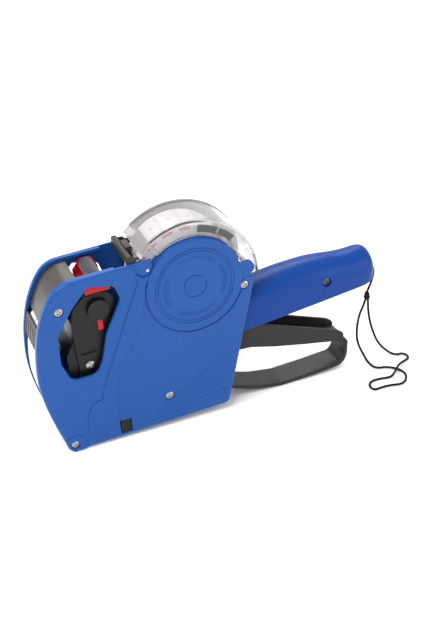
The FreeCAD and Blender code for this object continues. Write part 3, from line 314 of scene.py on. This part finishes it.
def roll_paper(roll=True):
    """Label stock: white paper with faint rose print bars at a 12 mm pitch."""
    m, nt, bsdf = new_mat("label_roll_paper" if roll else "label_paper")
    co = coords(nt)
    n = noise(nt, co, 700, 4.0)
    base = ramp(nt, n, [(0.3, lin(238, 234, 232)), (0.7, lin(246, 243, 241))])
    sep = nt.nodes.new("ShaderNodeSeparateXYZ")
    nt.links.new(co, sep.inputs[0])
    x, y, z = sep.outputs
    rose = lin(206, 128, 140)
    if roll:
        xx = mth(nt, "SUBTRACT", x, ROLL.x)
        zz = mth(nt, "SUBTRACT", z, ROLL.z)
        rad = mth(nt, "SQRT", mth(nt, "ADD", mth(nt, "MULTIPLY", xx, xx), mth(nt, "MULTIPLY", zz, zz)))
        ang = mth(nt, "ARCTAN2", zz, xx)
        s = mth(nt, "MULTIPLY", ang, 31.6)          # arc length in mm
        edge = mth(nt, "GREATER_THAN", rad, 0.03135)
    else:
        s = mth(nt, "MULTIPLY", z, 1000.0)
        edge = None
    u = mth(nt, "PINGPONG", mth(nt, "ADD", s, 1200.0), 6.0)     # 0 at a label's edge, 6 mid label
    t = mth(nt, "FLOORED_MODULO", mth(nt, "ADD", s, 1200.0), 12.0)   # 0..12 along a label
    ymm = mth(nt, "MULTIPLY", y, 1000.0)
    ya = mth(nt, "ABSOLUTE", ymm)

    def band(v, lo, hi):
        return mth(nt, "MULTIPLY", mth(nt, "GREATER_THAN", v, lo), mth(nt, "LESS_THAN", v, hi))

    cut_line = mth(nt, "LESS_THAN", u, 0.22)
    inner = mth(nt, "LESS_THAN", ya, 8.6)
    # broken bars either side of each cut line stand in for small print
    dash = noise(nt, co, 1500.0, 1.0)
    dashm = mth(nt, "GREATER_THAN", dash, 0.52)
    row1 = mth(nt, "MULTIPLY", mth(nt, "MULTIPLY", band(t, 1.1, 1.6), inner), dashm)
    row2 = mth(nt, "MULTIPLY", mth(nt, "MULTIPLY", band(t, 10.1, 10.5), inner), dashm)
    frame_l = mth(nt, "MULTIPLY", band(ya, 8.9, 9.15), band(t, 1.2, 10.8))
    pink = mth(nt, "MAXIMUM", mth(nt, "MULTIPLY", cut_line, 0.6), mth(nt, "MAXIMUM", mth(nt, "MULTIPLY", row1, 0.75),
               mth(nt, "MAXIMUM", mth(nt, "MULTIPLY", row2, 0.6), mth(nt, "MULTIPLY", frame_l, 0.22))))
    # one short dark register bar in the middle of each label
    bar = mth(nt, "MULTIPLY", band(t, 5.4, 6.8), band(ymm, -0.4, 0.4))
    col = mixc(nt, pink, base, rose)
    col = mixc(nt, mth(nt, "MULTIPLY", bar, 0.85), col, lin(60, 50, 56))
    if roll:
        # side faces: fine turns of paper with a rosy cast where the print shows at the edge
        tw = mth(nt, "SINE", mth(nt, "MULTIPLY", rad, 24000.0))
        side = mixc(nt, remap(nt, tw, 0.0, 0.35, -1, 1), lin(232, 226, 224), lin(196, 176, 178))
        pk = mth(nt, "MULTIPLY", band(rad, 0.0287, 0.0309), mth(nt, "LESS_THAN", u, 3.6))
        side = mixc(nt, mth(nt, "MULTIPLY", pk, 0.75), side, lin(206, 92, 116))
        col = mixc(nt, edge, side, col)
    nt.links.new(col, bsdf.inputs["Base Color"])
    bsdf.inputs["Roughness"].default_value = 0.72
    bsdf.inputs["Specular IOR Level"].default_value = 0.3
    bump(nt, bsdf, [(n, 0.25, 0.00006)])
    return m


M["label_paper"] = roll_paper(False)
M["roll_paper"] = roll_paper(True)


COVER = at(87.4, 92.7)


def clear_plastic():
    m, nt, bsdf = new_mat("clear_plastic")
    co = coords(nt)
    n = noise(nt, co, 60.0, 3.0)
    sep = nt.nodes.new("ShaderNodeSeparateXYZ")
    nt.links.new(co, sep.inputs[0])
    # painted shade: the side walls (much less the near wall) and the front of the cover are mixed toward grey (0.40,
    # 0.39, 0.385) with less transmission, standing in for the shade seen through the clear cover
    ya = mth(nt, "ABSOLUTE", sep.outputs[1])
    wall = mth(nt, "GREATER_THAN", ya, 0.0139)
    # painted shade: faces seen at a grazing angle are mixed toward dark grey (0.30, 0.30, 0.31)
    lw = nt.nodes.new("ShaderNodeLayerWeight")
    lw.inputs["Blend"].default_value = 0.35
    rim_painted_shade = remap(nt, lw.outputs["Facing"], 0.0, 1.0, 0.55, 0.95)
    xx = mth(nt, "SUBTRACT", sep.outputs[0], COVER.x)
    zz = mth(nt, "SUBTRACT", sep.outputs[2], COVER.z)
    front = mth(nt, "GREATER_THAN", mth(nt, "ARCTAN2", zz, xx), math.radians(125.6))
    rad = mth(nt, "SQRT", mth(nt, "ADD", mth(nt, "MULTIPLY", xx, xx), mth(nt, "MULTIPLY", zz, zz)))
    near = mth(nt, "MULTIPLY", mth(nt, "LESS_THAN", sep.outputs[1], 0.0), 0.86)
    grey = mth(nt, "MAXIMUM", mth(nt, "MULTIPLY", wall, mth(nt, "SUBTRACT", 1.0, near)), mth(nt, "MULTIPLY", front, 0.85))
    col = mixc(nt, grey, (0.93, 0.935, 0.94, 1), (0.40, 0.39, 0.385, 1))
    col = mixc(nt, rim_painted_shade, col, (0.30, 0.30, 0.31, 1))
    nt.links.new(remap(nt, grey, 1.0, 0.62), bsdf.inputs["Transmission Weight"])
    nt.links.new(col, bsdf.inputs["Base Color"])
    nt.links.new(remap(nt, n, 0.02, 0.08, 0.35, 0.7), bsdf.inputs["Roughness"])
    bsdf.inputs["IOR"].default_value = 1.47
    soft = noise(nt, co, 30.0, 1.0)
    bump(nt, bsdf, [(soft, 0.15, 0.0002)])
    return m


M["clear_plastic"] = clear_plastic()


def smoked():
    m, nt, bsdf = new_mat("smoked_clear")
    co = coords(nt)
    n = noise(nt, co, 90.0, 3.0)
    col = ramp(nt, n, [(0.3, (0.044, 0.037, 0.032)), (0.7, (0.052, 0.044, 0.038))])
    nt.links.new(col, bsdf.inputs["Base Color"])
    nt.links.new(remap(nt, n, 0.26, 0.36, 0.3, 0.7), bsdf.inputs["Roughness"])
    bsdf.inputs["IOR"].default_value = 1.49
    bsdf.inputs["Transmission Weight"].default_value = 0.25
    g = noise(nt, co, 1500, 2.0)
    bump(nt, bsdf, [(g, 0.12, 0.00006)])
    return m


M["smoked_clear"] = smoked()


def cord_mat():
    m, nt, bsdf = new_mat("cord_black")
    co = coords(nt)
    n = noise(nt, co, 1700, 4.0, 0.7)
    v = nt.nodes.new("ShaderNodeTexVoronoi")
    v.inputs["Scale"].default_value = 1500
    nt.links.new(co, v.inputs["Vector"])
    col = ramp(nt, n, [(0.3, (0.003, 0.0028, 0.003)), (0.7, (0.012, 0.011, 0.0115))])
    nt.links.new(col, bsdf.inputs["Base Color"])
    bsdf.inputs["Roughness"].default_value = 0.7
    bsdf.inputs["Specular IOR Level"].default_value = 0.15
    bump(nt, bsdf, [(v.outputs["Distance"], 0.7, 0.0002), (n, 0.4, 0.0001)])
    return m


M["cord_black"] = cord_mat()

SLOTS = {s["node"]: s["material_slot"] for s in frame["record"]["subparts"]}


def paint(ob, mat):
    ob.data.materials.clear()
    ob.data.materials.append(mat)


for name, ob in N.items():
    key = SLOTS[name]
    mt = M[key]
    if name == "label_roll":
        mt = M["roll_paper"]
    # painted shade: the deeply recessed handle screw gets the near-black screw metal, standing in for the shade in its
    # hole
    if name == "handle_screw":
        mt = M["dark_screw"]
    paint(ob, mt)

BODY_OF = {n: b for b, ns in frame["record"]["behaviour"]["bodies"].items() for n in ns}


# ------------------------------------------------------------------ clean shading of CAD pieces
for name, ob in N.items():
    wd = ob.modifiers.new("weld", "WELD")
    wd.merge_threshold = 2e-6
    es = ob.modifiers.new("split", "EDGE_SPLIT")
    es.split_angle = math.radians(28)
    es.use_edge_sharp = False


# ------------------------------------------------------------------ floor and light
fl = bpy.data.meshes.new("floor")
s = 3.0
fl.from_pydata([(-s, -s, -0.0004), (s, -s, -0.0004), (s, s, -0.0004), (-s, s, -0.0004)], [], [(0, 1, 2, 3)])
floor = bpy.data.objects.new("floor", fl)
scene.collection.objects.link(floor)
fm, fnt, fb = new_mat("floor")
fb.inputs["Base Color"].default_value = (0.97, 0.97, 0.972, 1)
fb.inputs["Roughness"].default_value = 0.55
fb.inputs["Specular IOR Level"].default_value = 0.25
paint(floor, fm)

world = bpy.data.worlds.new("world")
scene.world = world
world.use_nodes = True
wn = world.node_tree
bg = wn.nodes["Background"]
bg.inputs["Color"].default_value = (1.0, 1.0, 1.0, 1)
bg.inputs["Strength"].default_value = 1.0


def area(name, loc, target, size, power, color=(1, 1, 1)):
    ld = bpy.data.lights.new(name, "AREA")
    ld.shape = "RECTANGLE"
    ld.size, ld.size_y = size
    ld.energy = power
    ld.color = color
    ob = bpy.data.objects.new(name, ld)
    scene.collection.objects.link(ob)
    ob.location = loc
    d = (Vector(target) - Vector(loc)).normalized()
    ob.rotation_euler = d.to_track_quat("-Z", "Y").to_euler()
    return ob


area("key", (-0.55, -0.35, 1.05), (0, 0, 0.06), (0.7, 0.7), 11.0)
area("top_back", (0.25, 0.75, 0.95), (0, 0, 0.06), (0.9, 0.5), 7.0)
area("fill", (0.95, -0.95, 0.45), (0, 0, 0.06), (0.8, 0.8), 5.0)

# ------------------------------------------------------------------ cord pieces
stub = cord_curve("cord_stub_curve", STUB, 0.0016)
paint(stub, M["cord_black"])
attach(stub, "body")
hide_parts("lanyard_stub")
loop = cord_curve("cord_loop_curve", LOOPC, 0.0016)
paint(loop, M["cord_black"])
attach(loop, "body")
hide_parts("lanyard_loop")

# ------------------------------------------------------------------ generic raised ticks on the round faces
def tick_mesh(name, side):
    y0 = side * 18.55
    y1 = side * 18.86
    vs, fs = [], []

    def bar(ang, r0, r1, w):
        a = math.radians(ang)
        ca, sa = math.cos(a), math.sin(a)
        i = len(vs)
        for yy in (y0, y1):
            k = 0.5 if yy == y0 else 0.36
            for r, q in ((r0, -k), (r1, -k), (r1, k), (r0, k)):
                p = at(88.0 + r * ca - q * w * sa, 94.0 + r * sa + q * w * ca)
                vs.append((p.x, yy * MM, p.z))
        f = [(0, 1, 2, 3), (4, 7, 6, 5), (0, 4, 5, 1), (1, 5, 6, 2), (2, 6, 7, 3), (3, 7, 4, 0)]
        for q in f:
            q = tuple(i + v for v in q)
            fs.append(q if side > 0 else q[::-1])

    k = 0
    for a0, a1, st, r0, r1 in ((152.0, 214.0, 5.2, 17.2, 20.6), (232.0, 308.0, 4.0, 18.0, 20.4), (328.0, 392.0, 4.0, 18.0, 20.4),
                               (44.0, 118.0, 4.6, 18.4, 20.2)):
        a = a0
        while a < a1:
            k += 1
            bar(a, r0 + (0.5 if k % 3 == 0 else 0.0), r1 - (0.6 if k % 4 == 0 else 0.0), 0.75)
            a += st
    bar(12.0, -2.4, 2.4, 1.5)
    me = bpy.data.meshes.new(name)
    me.from_pydata(vs, [], fs)
    me.validate()
    me.update()
    ob = bpy.data.objects.new(name, me)
    scene.collection.objects.link(ob)
    paint(ob, M["body_blue"])
    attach(ob, "body")
    return ob


tick_mesh("face_ticks_near", -1)
tick_mesh("face_ticks_far", 1)
